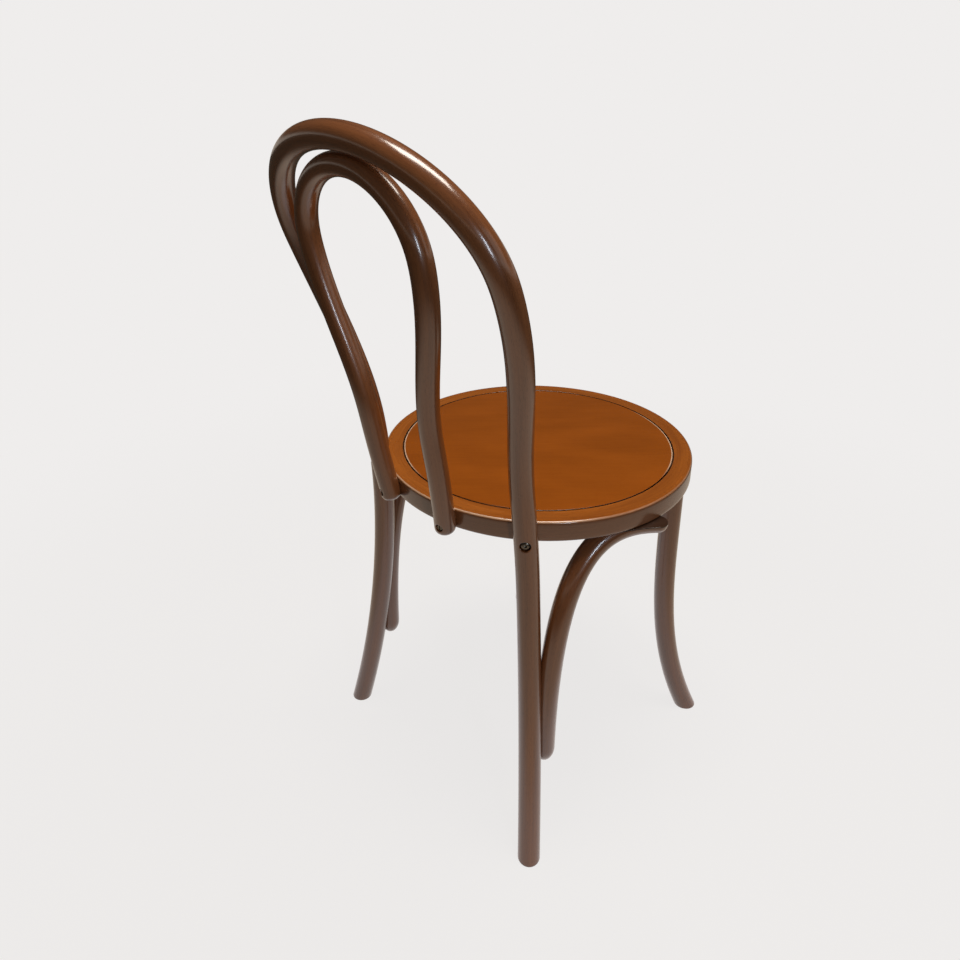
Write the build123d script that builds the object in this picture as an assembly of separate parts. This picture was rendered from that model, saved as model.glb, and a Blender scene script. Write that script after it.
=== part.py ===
from build123d import *
import os
from math import cos, hypot, pi, radians, sin, sqrt, tan

# Bentwood bistro chair with a round seat, in millimetres. Z is up from the floor, the sitter
# faces -Y, and the chair is the same left (+X) and right (-X) of the plane X = 0. Until the last
# step the seat's axis is at X = Y = 0, and "behind" is a distance from it towards +Y.

# Seat ring and panel
seat_height = 459.0
ring_diameter = 420.0
ring_thickness = 26.5
ring_width = 38.0
ring_lip = 24.0
ring_edge_round = 3.0
panel_thickness = 9.0
panel_groove = 1.5
panel_edge_chamfer = 0.8

# Back hoop: one rod that is both rear legs and the outer back. It is fixed to the ring's edge at
# an angle from the back, spreads to its feet and shoulders, and leans back above and below a
# plumb point under the seat.
hoop_rod = 28.5
hoop_turn = 40.0
hoop_let_in = 6.2
hoop_fixing_drop = 20.0
hoop_foot_splay = 47.5
hoop_foot_lean = 34.5
hoop_plumb_drop = 102.0
hoop_waist_rise = 33.5
hoop_shoulder_rise = 292.0
hoop_shoulder_swell = 39.5
hoop_crown_rise = 125.5
hoop_crown_lean = 136.0
hoop_waist_bends = 9

# Inner hoop: a smaller rod in one leaning plane, flattened where its ends lie on the ring
inner_rod = 25.5
inner_turn = 14.1
inner_let_in = 2.2
inner_fixing_drop = 17.0
inner_end_drop = 28.0
inner_end_taper = 7.5
inner_waist_rise = 93.0
inner_shoulder_rise = 304.0
inner_shoulder_swell = 39.5
inner_crown_rise = 86.5
inner_lean = 75.0
inner_end_round = 7.0
inner_waist_bends = 4

# Bends on each side of either hoop, from its waist to its shoulder and on to its crown
shoulder_bends = 7
crown_bends = 10

# Front legs: sabre legs in upright planes through the seat's axis
leg_rod = 29.5
leg_turn = 46.5
leg_inset = 15.5
leg_foot_kick = 53.0
leg_kick_start = 0.25
leg_kick_power = 2.9
leg_bends = 7
tenon_diameter = 21.0
tenon_length = 14.0

# Side braces: a cubic curve from the rear leg to the ring's edge. It pulls straight up at the
# leg, and at the ring it runs level, at a heading from straight ahead towards the side. Its upper
# end reaches past the ring at an angle behind the seat's side, planed flat to half its rod.
brace_rod = 27.5
brace_foot_height = 121.5
brace_foot_pull = 324.0
brace_end_pull = 78.0
brace_end_heading = 45.0
brace_end_past = 9.0
brace_end_turn = 1.5
brace_saddle = 2.0
brace_end_round = 6.0
brace_bends = 12

# Hoop bolts, with a nut and washer inside the ring
bolt_diameter = 6.0
bolt_head_diameter = 12.0
bolt_head_height = 4.0
bolt_head_round = 3.2
bolt_hex_socket = 4.0
bolt_socket_depth = 2.5
bolt_counterbore = 13.0
bolt_counterbore_depth = 6.0
bolt_tail = 2.0
washer_diameter = 12.5
washer_thickness = 1.6
nut_across_flats = 10.0
nut_height = 5.0

# Wood screws
screw_diameter = 4.5
screw_head_diameter = 8.5
screw_head_height = 3.0
screw_head_round = 1.5
screw_counterbore = 9.5
screw_slot_width = 1.2
screw_slot_depth = 1.2
screw_point_length = 4.0
screw_tip_diameter = 0.8
inner_screw_sunk = 5.0
inner_screw_length = 42.0
brace_foot_screw_sunk = 5.0
brace_foot_screw_length = 40.0
brace_foot_screw_up = 17.0
brace_top_screw_sunk = 4.0
brace_top_screw_length = 32.0
brace_top_screw_share = 0.8
leg_screw_length = 26.0

# Fits and finishing. A bend takes up to bend_share of the shorter run beside it.
joint_clearance = 0.1
bore_clearance = 0.2
foot_edge_round = 2.5
below_floor = 30.0
bend_share = 0.45

ON_BASE = (Align.CENTER, Align.CENTER, Align.MIN)
FROM_TOP = (Align.CENTER, Align.CENTER, Align.MAX)

ring_radius = ring_diameter / 2
bore_radius = ring_radius - ring_width
rebate_radius = ring_radius - ring_lip
ring_bottom = seat_height - ring_thickness
ledge_height = seat_height - panel_thickness
hoop_fixing_height = seat_height - hoop_fixing_drop
inner_fixing_height = seat_height - inner_fixing_drop
screw_bore = screw_diameter + bore_clearance
bolt_bore = bolt_diameter + bore_clearance


def bent_rod(points, diameter):
    """A round rod through the points, each corner bent on the largest radius its runs allow."""
    corners = [Vector(*point) for point in points]
    runs = [end - start for start, end in zip(corners, corners[1:])]
    radii = []
    for before, after in zip(runs, runs[1:]):
        half_turn = radians(before.get_angle(after)) / 2
        radii.append(bend_share * min(before.length, after.length) / tan(half_turn))
    path = FilletPolyline(*corners, radius=radii)
    section = Plane(origin=path @ 0, z_dir=path % 0) * Circle(diameter / 2)
    return sweep(section, path=path)


def hoop_points(end, waist, shoulder, crown_rise, behind, waist_bends):
    """The corners of a whole hoop, from its left end over the crown to its right end.

    The half width is a parabola up to the waist, half a cosine wave from there to the shoulder,
    and a quarter ellipse over the crown, whose top lies midway between the last corner and its
    mirror image. Each of end, waist and shoulder is (half width, height), and behind gives the
    distance behind the seat's axis at a height.
    """
    half = []
    for step in range(waist_bends):
        share = 1 - step / waist_bends
        height = waist[1] + (end[1] - waist[1]) * share
        half.append((waist[0] + (end[0] - waist[0]) * share**2, behind(height), height))
    for step in range(shoulder_bends):
        share = step / shoulder_bends
        height = waist[1] + (shoulder[1] - waist[1]) * share
        swell = (shoulder[0] - waist[0]) * (1 - cos(pi * share)) / 2
        half.append((waist[0] + swell, behind(height), height))
    for step in range(crown_bends):
        turn = pi * step / (2 * crown_bends - 1)
        height = shoulder[1] + crown_rise * sin(turn)
        half.append((shoulder[0] * cos(turn), behind(height), height))
    return half + [(-x, y, z) for x, y, z in reversed(half)]


def mirrored(piece):
    return piece.mirror(Plane.YZ)


def radial_plane(x, y, height):
    """A plane on the line out from the seat's axis through (x, y); its Z points outwards."""
    outwards = Vector(x, y, 0).normalized()
    return Plane(origin=(0, 0, height), x_dir=(0, 0, 1), z_dir=outwards)


def drill(plane, diameter, start, end):
    """A round cutter along a plane's normal, between two distances from its origin."""
    return plane.offset(start) * Cylinder(diameter / 2, end - start, align=ON_BASE)


def floor_cut(piece):
    """Saw a leg off level with the floor and ease the sawn edge."""
    piece = piece - Box(4 * ring_diameter, 4 * ring_diameter, 2 * below_floor, align=FROM_TOP)
    sawn = piece.faces().filter_by(Axis.Z).group_by(Axis.Z)[0]
    return fillet(sawn.edges(), foot_edge_round)


# The back hoop's line. It is found from where the hoop lies in the ring's edge.

plumb_height = seat_height - hoop_plumb_drop
waist_height = seat_height + hoop_waist_rise
hoop_shoulder_height = seat_height + hoop_shoulder_rise
hoop_at_ring = ring_radius + hoop_rod / 2 - hoop_let_in
hoop_fixing = (hoop_at_ring * sin(radians(hoop_turn)), hoop_at_ring * cos(radians(hoop_turn)))


def hoop_splay(height):
    """How far out from its waist the rear leg is at a height."""
    return hoop_foot_splay * ((waist_height - height) / waist_height) ** 2


def hoop_lean(height):
    """How far back from its plumb point the hoop is at a height."""
    above = height - plumb_height
    if above > 0:
        crown_above = hoop_shoulder_height + hoop_crown_rise - plumb_height
        return hoop_crown_lean * (above / crown_above) ** 2
    return hoop_foot_lean * (above / plumb_height) ** 2


hoop_waist = hoop_fixing[0] - hoop_splay(hoop_fixing_height)
hoop_plumb = hoop_fixing[1] - hoop_lean(hoop_fixing_height)


def hoop_behind(height):
    return hoop_plumb + hoop_lean(height)


# The inner hoop's line, found in the same way

inner_end_height = seat_height - inner_end_drop
inner_waist_height = seat_height + inner_waist_rise
inner_shoulder_height = seat_height + inner_shoulder_rise
inner_height = inner_shoulder_height + inner_crown_rise - inner_end_height
inner_at_ring = ring_radius + inner_rod / 2 - inner_let_in
inner_fixing = (
    inner_at_ring * sin(radians(inner_turn)),
    inner_at_ring * cos(radians(inner_turn)),
)
inner_share = (inner_waist_height - inner_fixing_height) / (inner_waist_height - inner_end_height)
inner_waist = inner_fixing[0] + inner_end_taper * inner_share**2


def inner_behind(height):
    return inner_fixing[1] + inner_lean * (height - inner_fixing_height) / inner_height


# Where the hoops are fixed to the ring

hoop_bolt_plane = radial_plane(*hoop_fixing, hoop_fixing_height)
bolt_seat = hoop_at_ring + hoop_rod / 2 - bolt_counterbore_depth
washer_seat = sqrt(bore_radius**2 - (washer_diameter / 2) ** 2) - washer_thickness
nut_seat = washer_seat - nut_height
bolt_length = bolt_seat - nut_seat + bolt_tail
inner_screw_plane = radial_plane(*inner_fixing, inner_fixing_height)
inner_screw_seat = inner_at_ring + inner_rod / 2 - inner_screw_sunk

# Where the front legs stand, each screwed through its tenon from inside the ring

leg_direction = Vector(sin(radians(leg_turn)), -cos(radians(leg_turn)), 0)
leg_top = leg_direction * (ring_radius - leg_inset)
leg_screw_plane = radial_plane(leg_direction.X, leg_direction.Y, ring_bottom + tenon_length / 2)
leg_screw_seat = bore_radius + screw_head_height
leg_screw_end = leg_screw_seat + leg_screw_length
leg_screw_head_plane = Plane(
    origin=leg_screw_plane.offset(leg_screw_seat).origin, z_dir=-leg_screw_plane.z_dir
)

# Where the braces run. A screw plane's Z points from the screw's point to its head.

brace_screw_height = brace_foot_height + brace_foot_screw_up
brace_gap = hoop_rod / 2 + brace_rod / 2 - brace_saddle
brace_foot = Vector(
    hoop_waist + hoop_splay(brace_screw_height),
    hoop_behind(brace_screw_height) - brace_gap,
    brace_foot_height,
)
brace_end_reach = ring_radius + brace_end_past
brace_end = Vector(
    brace_end_reach * cos(radians(brace_end_turn)),
    brace_end_reach * sin(radians(brace_end_turn)),
    ring_bottom,
)
brace_heading = Vector(sin(radians(brace_end_heading)), -cos(radians(brace_end_heading)), 0)
brace_pulls = (brace_foot + Vector(0, 0, brace_foot_pull), brace_end - brace_heading * brace_end_pull)


def brace_point(share):
    """The point of the brace's cubic curve at a share of its parameter."""
    rest = 1 - share
    near_foot = brace_foot * rest**3 + brace_pulls[0] * (3 * rest**2 * share)
    return near_foot + brace_pulls[1] * (3 * rest * share**2) + brace_end * share**3


brace_foot_plane = Plane(
    origin=(brace_foot.X, brace_foot.Y - brace_rod / 2 + brace_foot_screw_sunk, brace_screw_height),
    z_dir=(0, -1, 0),
)
brace_top_screw = brace_point(brace_top_screw_share)
brace_top_screw_seat = brace_top_screw.Z - brace_rod / 2 + brace_top_screw_sunk
brace_top_plane = Plane(
    origin=(brace_top_screw.X, brace_top_screw.Y, brace_top_screw_seat), z_dir=(0, 0, -1)
)


def wood_screw(length):
    """A slotted wood screw on the Z axis: underside of the head at 0, point down."""
    head = Cylinder(screw_head_diameter / 2, screw_head_height, align=ON_BASE)
    head = fillet(head.edges().group_by(Axis.Z)[-1], screw_head_round)
    slot = Box(screw_head_diameter, screw_slot_width, screw_slot_depth, align=FROM_TOP)
    head -= Pos(0, 0, screw_head_height) * slot
    shank_length = length - screw_point_length
    shank = Pos(0, 0, -shank_length) * Cylinder(screw_diameter / 2, shank_length, align=ON_BASE)
    point = Cone(screw_tip_diameter / 2, screw_diameter / 2, screw_point_length, align=ON_BASE)
    return head + shank + Pos(0, 0, -length) * point


def hoop_bolt():
    """A domed bolt with a hex socket on the Z axis: underside of the head at 0, shank down."""
    head = Cylinder(bolt_head_diameter / 2, bolt_head_height, align=ON_BASE)
    head = fillet(head.edges().group_by(Axis.Z)[-1], bolt_head_round)
    socket = RegularPolygon(bolt_hex_socket / 2, 6, major_radius=False)
    head -= Pos(0, 0, bolt_head_height) * extrude(socket, -bolt_socket_depth)
    shank = Pos(0, 0, -bolt_length) * Cylinder(bolt_diameter / 2, bolt_length, align=ON_BASE)
    return head + shank


def washer():
    blank = Cylinder(washer_diameter / 2, washer_thickness, align=ON_BASE)
    return blank - Cylinder(bolt_bore / 2, washer_thickness, align=ON_BASE)


def nut():
    blank = extrude(RegularPolygon(nut_across_flats / 2, 6, major_radius=False), nut_height)
    return blank - Cylinder((bolt_diameter + joint_clearance) / 2, nut_height, align=ON_BASE)


def seat_ring():
    """The bent ring: rebated for the panel, bored for the tenons, bolts and screws."""
    ring = Pos(0, 0, ring_bottom) * Cylinder(ring_radius, ring_thickness, align=ON_BASE)
    ring = fillet(ring.edges().filter_by(GeomType.CIRCLE), ring_edge_round)
    ring -= Pos(0, 0, ring_bottom) * Cylinder(bore_radius, ring_thickness, align=ON_BASE)
    ring -= Pos(0, 0, ledge_height) * Cylinder(rebate_radius, panel_thickness, align=ON_BASE)
    mortise = Cylinder(
        tenon_diameter / 2 + joint_clearance, tenon_length + bore_clearance, align=ON_BASE
    )
    inner_screw_tip = inner_screw_seat - inner_screw_length - joint_clearance
    cutters = (
        Pos(leg_top.X, leg_top.Y, ring_bottom) * mortise,
        drill(hoop_bolt_plane, bolt_bore, 0, ring_diameter),
        drill(inner_screw_plane, screw_bore, inner_screw_tip, ring_diameter),
        drill(leg_screw_plane, screw_bore, 0, leg_screw_end + joint_clearance),
        drill(leg_screw_plane, screw_counterbore, 0, leg_screw_seat),
        drill(brace_top_plane, screw_bore, -brace_top_screw_length - joint_clearance, 0),
    )
    for cutter in cutters:
        ring = ring - cutter - mirrored(cutter)
    return ring


def seat_panel():
    """The flat panel, resting on the ring's rebate with a groove left round it."""
    panel_radius = rebate_radius - panel_groove
    panel = Pos(0, 0, ledge_height) * Cylinder(panel_radius, panel_thickness, align=ON_BASE)
    return chamfer(panel.edges().group_by(Axis.Z)[-1], panel_edge_chamfer)


def ring_notch():
    """What the ring takes out of a rod that is let in around its edge."""
    notch_height = ring_thickness + 2 * joint_clearance
    notch = Cylinder(ring_radius + joint_clearance, notch_height, align=ON_BASE)
    return Pos(0, 0, ring_bottom - joint_clearance) * notch


def hoop_round(diameter):
    """The back hoop's rod at a diameter, before anything is cut from it."""
    end = (hoop_waist + hoop_splay(-below_floor), -below_floor)
    waist = (hoop_waist, waist_height)
    shoulder = (hoop_waist + hoop_shoulder_swell, hoop_shoulder_height)
    points = hoop_points(end, waist, shoulder, hoop_crown_rise, hoop_behind, hoop_waist_bends)
    return bent_rod(points, diameter)


def back_hoop():
    """The back hoop, let in around the ring and counterbored for the two hoop bolts."""
    hoop = floor_cut(hoop_round(hoop_rod)) - ring_notch()
    brace_screw_tip = -brace_foot_screw_length - joint_clearance
    cutters = (
        drill(hoop_bolt_plane, bolt_bore, bore_radius, bolt_seat),
        drill(hoop_bolt_plane, bolt_counterbore, bolt_seat, bolt_seat + hoop_rod),
        drill(brace_foot_plane, screw_bore, brace_screw_tip, 0),
    )
    for cutter in cutters:
        hoop = hoop - cutter - mirrored(cutter)
    return hoop


def inner_hoop():
    """The inner hoop, its ends rounded, flattened on the ring and bored for its two screws."""
    end = (inner_waist - inner_end_taper, inner_end_height)
    waist = (inner_waist, inner_waist_height)
    shoulder = (inner_waist + inner_shoulder_swell, inner_shoulder_height)
    points = hoop_points(end, waist, shoulder, inner_crown_rise, inner_behind, inner_waist_bends)
    hoop = bent_rod(points, inner_rod)
    hoop = fillet(hoop.edges().group_by(Axis.Z)[0], inner_end_round) - ring_notch()
    cutters = (
        drill(inner_screw_plane, screw_bore, bore_radius, inner_screw_seat),
        drill(inner_screw_plane, screw_counterbore, inner_screw_seat, inner_screw_seat + inner_rod),
    )
    for cutter in cutters:
        hoop = hoop - cutter - mirrored(cutter)
    return hoop


def front_leg():
    """The left front leg: upright at first, then kicking outwards to its foot, and its tenon."""
    points = [(leg_top.X, leg_top.Y, ring_bottom)]
    saw_line = 1 + below_floor / ring_bottom
    for step in range(leg_bends + 1):
        share = leg_kick_start + (saw_line - leg_kick_start) * step / leg_bends
        kick = ((share - leg_kick_start) / (1 - leg_kick_start)) ** leg_kick_power
        centre = leg_top + leg_direction * (leg_foot_kick * kick)
        points.append((centre.X, centre.Y, ring_bottom * (1 - share)))
    tenon = Cylinder(tenon_diameter / 2, tenon_length, align=ON_BASE)
    leg = floor_cut(bent_rod(points, leg_rod)) + Pos(leg_top.X, leg_top.Y, ring_bottom) * tenon
    return leg - drill(leg_screw_plane, screw_bore, 0, leg_screw_end + joint_clearance)


def side_brace():
    """The left brace: planed flat where it meets the ring and hollowed to the rear leg."""
    points = [tuple(brace_point(step / brace_bends)) for step in range(brace_bends + 1)]
    brace = bent_rod(points, brace_rod)
    brace = fillet(brace.faces().filter_by(GeomType.PLANE).edges(), brace_end_round)
    planed = Box(4 * ring_diameter, 4 * ring_diameter, brace_rod, align=ON_BASE)
    brace -= Pos(0, 0, ring_bottom) * planed
    brace -= hoop_round(hoop_rod + 2 * joint_clearance)
    fixings = (
        (brace_foot_plane, brace_foot_screw_length),
        (brace_top_plane, brace_top_screw_length),
    )
    for plane, length in fixings:
        brace -= drill(plane, screw_bore, -length - joint_clearance, 0)
        brace -= drill(plane, screw_counterbore, 0, brace_rod)
    return brace


def on_both_sides(piece):
    """The two copies of a fixing, left and right, as separate solids of one node."""
    return Compound([piece.solid(), mirrored(piece).solid()])


def chair():
    nodes = {
        "seat_ring": seat_ring(),
        "seat_panel": seat_panel(),
        "back_hoop": back_hoop(),
        "inner_hoop": inner_hoop(),
        "front_leg_left": front_leg(),
        "side_brace_left": side_brace(),
        "hoop_bolts": on_both_sides(hoop_bolt_plane.offset(bolt_seat) * hoop_bolt()),
        "hoop_washers": on_both_sides(hoop_bolt_plane.offset(washer_seat) * washer()),
        "hoop_nuts": on_both_sides(hoop_bolt_plane.offset(nut_seat) * nut()),
        "inner_hoop_screws": on_both_sides(
            inner_screw_plane.offset(inner_screw_seat) * wood_screw(inner_screw_length)
        ),
        "front_leg_screws": on_both_sides(leg_screw_head_plane * wood_screw(leg_screw_length)),
        "brace_foot_screws": on_both_sides(brace_foot_plane * wood_screw(brace_foot_screw_length)),
        "brace_top_screws": on_both_sides(brace_top_plane * wood_screw(brace_top_screw_length)),
    }
    nodes["front_leg_right"] = mirrored(nodes["front_leg_left"])
    nodes["side_brace_right"] = mirrored(nodes["side_brace_left"])
    return nodes


# The origin is on the floor, in the middle of the chair's length and width.
os.makedirs("parts", exist_ok=True)
pieces = chair()
back_reach = pieces["back_hoop"].bounding_box().max.Y
centring = Pos(0, (ring_radius - back_reach) / 2, 0)
for name, piece in pieces.items():
    export_step(centring * piece, f"parts/{name}.step")
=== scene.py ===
from math import cos, pi, radians, sin

import bpy
import numpy as np
from mathutils import Matrix, Quaternion, Vector


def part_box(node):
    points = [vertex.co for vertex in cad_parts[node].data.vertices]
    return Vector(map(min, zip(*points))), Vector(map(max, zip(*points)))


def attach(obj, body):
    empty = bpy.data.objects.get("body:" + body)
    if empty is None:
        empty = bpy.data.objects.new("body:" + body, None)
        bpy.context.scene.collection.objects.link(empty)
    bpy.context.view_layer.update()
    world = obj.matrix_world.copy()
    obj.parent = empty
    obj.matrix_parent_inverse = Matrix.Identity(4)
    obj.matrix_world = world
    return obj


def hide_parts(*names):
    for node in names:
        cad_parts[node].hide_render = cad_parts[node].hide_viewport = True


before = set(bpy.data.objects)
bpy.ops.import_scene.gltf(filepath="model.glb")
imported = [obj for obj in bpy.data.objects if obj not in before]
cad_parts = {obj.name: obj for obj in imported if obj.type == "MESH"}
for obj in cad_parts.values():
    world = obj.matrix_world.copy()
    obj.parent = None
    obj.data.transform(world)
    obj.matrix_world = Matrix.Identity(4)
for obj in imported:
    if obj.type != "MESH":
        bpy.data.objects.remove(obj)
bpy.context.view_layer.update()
mm = 0.001

# Camera. It stands behind the chair and to its right, level with the crown and a step away, and
# looks down over the seat. The lens is moved down a little instead of tilting further.

seat_low, seat_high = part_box("seat_ring")
seat_middle = (seat_low + seat_high) / 2
seat_top = Vector((seat_middle.x, seat_middle.y, seat_high.z))
camera_from_seat = Vector((-626.0, 685.6, 452.3)) * mm
camera_heading = radians(-42.716)
camera_dip = radians(21.396)
camera_roll = radians(-0.183)

bpy.context.scene.view_settings.view_transform = "Standard"
camera = bpy.data.objects.new("camera", bpy.data.cameras.new("camera"))
bpy.context.scene.collection.objects.link(camera)
bpy.context.scene.camera = camera
camera.data.sensor_width = 36.0
camera.data.lens = 27.54
camera.data.shift_y = -0.1033
camera.data.clip_start = 0.01
camera.location = seat_top + camera_from_seat
level_share = cos(camera_dip)
line_of_sight = Vector(
    (cos(camera_heading) * level_share, sin(camera_heading) * level_share, -sin(camera_dip))
)
upright = line_of_sight.to_track_quat("-Z", "Y")
camera.rotation_mode = "QUATERNION"
camera.rotation_quaternion = upright @ Quaternion((0.0, 0.0, 1.0), camera_roll)

# Light. A warm soft lamp hangs over the seat, a tall cool one stands at the chair's right like a
# window, and a wide weak one fills that side. Beyond the lamps the room is dim, with a low pale
# wall round it that only gloss shows.

backdrop_colour = (0.863, 0.847, 0.839, 1.0)
dim_room_colour = (0.045, 0.036, 0.026, 1.0)
mirrored_wall_colour = (0.48, 0.42, 0.36, 1.0)
fill_colour = (0.09, 0.086, 0.082, 1.0)
wall_top = sin(radians(2.0))
wall_fade = sin(radians(9.0))


def soft_lamp(name, azimuth, height_angle, distance, width, length, length_along, watts, colour):
    """A rectangular lamp facing the seat, placed by its direction from the seat in degrees.

    Its length lies along the direction given, less that direction's part towards the seat.
    """
    lamp = bpy.data.lights.new(name, "AREA")
    lamp.shape = "RECTANGLE"
    lamp.size = width
    lamp.size_y = length
    lamp.energy = watts
    lamp.color = colour
    turn = radians(azimuth)
    rise = radians(height_angle)
    towards = Vector((sin(turn) * cos(rise), -cos(turn) * cos(rise), sin(rise)))
    lengthways = (length_along - towards * length_along.dot(towards)).normalized()
    holder = bpy.data.objects.new(name, lamp)
    bpy.context.scene.collection.objects.link(holder)
    facing = Matrix((lengthways.cross(towards), lengthways, towards)).transposed().to_4x4()
    holder.matrix_world = Matrix.Translation(seat_top + towards * distance) @ facing


straight_up = Vector((0.0, 0.0, 1.0))
lamp_turn = radians(314.0)
lamp_way = Vector((sin(lamp_turn), -cos(lamp_turn), 0.0))
soft_lamp(
    "overhead_lamp", azimuth=268, height_angle=86.3, distance=2.2, width=0.75, length=1.34,
    length_along=lamp_way, watts=41, colour=(1.0, 0.93, 0.84),
)
soft_lamp(
    "window_lamp", azimuth=243, height_angle=12, distance=2.8, width=0.25, length=0.8,
    length_along=straight_up, watts=12, colour=(0.76, 0.86, 1.0),
)
soft_lamp(
    "side_lamp", azimuth=290, height_angle=25, distance=2.5, width=1.8, length=1.4,
    length_along=straight_up, watts=4, colour=(1.0, 0.96, 0.92),
)


def any_of(nodes, links, *rays):
    """1 where any of the kinds of ray asks, else 0."""
    path = nodes.new("ShaderNodeLightPath")
    asked = path.outputs[rays[0]]
    for ray in rays[1:]:
        either = nodes.new("ShaderNodeMath")
        either.operation = "MAXIMUM"
        links.new(asked, either.inputs[0])
        links.new(path.outputs[ray], either.inputs[1])
        asked = either.outputs[0]
    return asked


def faded(nodes, links, value, start, end, start_value, end_value):
    """A value that changes smoothly from one level to another between two places."""
    fade = nodes.new("ShaderNodeMapRange")
    fade.interpolation_type = "SMOOTHSTEP"
    fade.inputs["From Min"].default_value = start
    fade.inputs["From Max"].default_value = end
    fade.inputs["To Min"].default_value = start_value
    fade.inputs["To Max"].default_value = end_value
    links.new(value, fade.inputs["Value"])
    return fade.outputs["Result"]


def mixed_colour(nodes, links, share, first, second):
    """Two colours mixed by a share; each is a colour or another node's output."""
    mix = nodes.new("ShaderNodeMix")
    mix.data_type = "RGBA"
    links.new(share, mix.inputs["Factor"])
    for socket, colour in (("A", first), ("B", second)):
        if isinstance(colour, tuple):
            mix.inputs[socket].default_value = colour
        else:
            links.new(colour, mix.inputs[socket])
    return mix.outputs["Result"]


world = bpy.data.worlds.new("studio")
bpy.context.scene.world = world
world.use_nodes = True
nodes, links = world.node_tree.nodes, world.node_tree.links
nodes.clear()
direction = nodes.new("ShaderNodeTexCoord")
split = nodes.new("ShaderNodeSeparateXYZ")
links.new(direction.outputs["Generated"], split.inputs[0])
above_wall = faded(nodes, links, split.outputs["Z"], wall_top, wall_fade, 0.0, 1.0)
mirrored = mixed_colour(nodes, links, above_wall, mirrored_wall_colour, dim_room_colour)
in_gloss = any_of(nodes, links, "Is Glossy Ray", "Is Transmission Ray")
lit_or_mirrored = mixed_colour(nodes, links, in_gloss, fill_colour, mirrored)
to_camera = any_of(nodes, links, "Is Camera Ray")
room = mixed_colour(nodes, links, to_camera, lit_or_mirrored, backdrop_colour)
surround = nodes.new("ShaderNodeBackground")
output = nodes.new("ShaderNodeOutputWorld")
links.new(room, surround.inputs["Color"])
links.new(surround.outputs[0], output.inputs["Surface"])

# Floor. A plain pale sheet that runs out into the backdrop, with part of the chair's shadow kept
# close to the chair. In gloss, and in the light it throws back, it is pale and cool at the legs,
# then warmer, and dim from a step away.

floor_reach = 30.0
shadow_share = 0.08
shadow_fade = (0.4, 1.6)
sheet_edge = (0.75, 1.3)
near_bounce = (0.28, 0.27, 0.27, 1.0)
far_bounce = (0.12, 0.11, 0.10, 1.0)
sheet_colour = (0.98, 0.97, 0.96, 1.0)
mirrored_sheet_colour = (0.61, 0.50, 0.40, 1.0)
mirrored_near_colour = (0.80, 0.74, 0.72, 1.0)
near_edge = (0.32, 0.52)

floor_mesh = bpy.data.meshes.new("floor")
corners = [(-floor_reach, -floor_reach, 0), (floor_reach, -floor_reach, 0)]
corners += [(floor_reach, floor_reach, 0), (-floor_reach, floor_reach, 0)]
floor_mesh.from_pydata(corners, [], [(0, 1, 2, 3)])
floor = bpy.data.objects.new("floor", floor_mesh)
bpy.context.scene.collection.objects.link(floor)

floor_finish = bpy.data.materials.new("pale_floor")
floor_finish.use_nodes = True
nodes, links = floor_finish.node_tree.nodes, floor_finish.node_tree.links
nodes.clear()
place = nodes.new("ShaderNodeTexCoord")
distance = nodes.new("ShaderNodeVectorMath")
distance.operation = "LENGTH"
links.new(place.outputs["Object"], distance.inputs[0])


def shader_of(nodes, links, kind, colour):
    """A shader of one colour, which is a colour or another node's output."""
    node = nodes.new(kind)
    if isinstance(colour, tuple):
        node.inputs["Color"].default_value = colour
    else:
        links.new(colour, node.inputs["Color"])
    return node.outputs[0]


def mixed_shader(nodes, links, share, first, second):
    """Two shaders mixed by a share."""
    mix = nodes.new("ShaderNodeMixShader")
    links.new(share, mix.inputs["Fac"])
    links.new(first, mix.inputs[1])
    links.new(second, mix.inputs[2])
    return mix.outputs[0]


from_chair = distance.outputs["Value"]
shaded = faded(nodes, links, from_chair, *shadow_fade, shadow_share, 0.0)
far_off = faded(nodes, links, from_chair, *sheet_edge, 0.0, 1.0)
painted = shader_of(nodes, links, "ShaderNodeBsdfDiffuse", sheet_colour)
backdrop = shader_of(nodes, links, "ShaderNodeEmission", backdrop_colour)
seen = mixed_shader(nodes, links, shaded, backdrop, painted)
not_near = faded(nodes, links, from_chair, *near_edge, 0.0, 1.0)
sheet = mixed_colour(nodes, links, not_near, mirrored_near_colour, mirrored_sheet_colour)
mirrored_colour = mixed_colour(nodes, links, far_off, sheet, dim_room_colour)
mirrored = shader_of(nodes, links, "ShaderNodeEmission", mirrored_colour)
bounce_colour = mixed_colour(nodes, links, far_off, near_bounce, far_bounce)
bounced = shader_of(nodes, links, "ShaderNodeBsdfDiffuse", bounce_colour)
in_gloss = any_of(nodes, links, "Is Glossy Ray", "Is Transmission Ray")
unseen = mixed_shader(nodes, links, in_gloss, bounced, mirrored)
output = nodes.new("ShaderNodeOutputMaterial")
to_camera = any_of(nodes, links, "Is Camera Ray")
whole_floor = mixed_shader(nodes, links, to_camera, unseen, seen)
links.new(whole_floor, output.inputs["Surface"])
floor_mesh.materials.append(floor_finish)

# Seat ring. A beech stick bent into a full circle, rebated inside for the panel and bored for what
# it holds. Its edges are rounded over. Its top is painted a lighter orange than its side, as
# painted light from above, with a painted highlight along the top edge and painted shade in the
# groove.

seat_height = seat_high.z
ring_bottom = seat_low.z
ring_radius = (seat_high.x - seat_low.x) / 2
ring_width = 38.0 * mm
ring_lip = 24.0 * mm
panel_thickness = 9.0 * mm
ring_edge_round = 3.0 * mm
ring_inner_round = 0.5 * mm
tenon_radius = 10.5 * mm
tenon_length = 14.0 * mm
fit = 0.1 * mm
round_facets = 360
bore_facets = 48
arc_steps = 6
corner_points = arc_steps + 3


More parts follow.
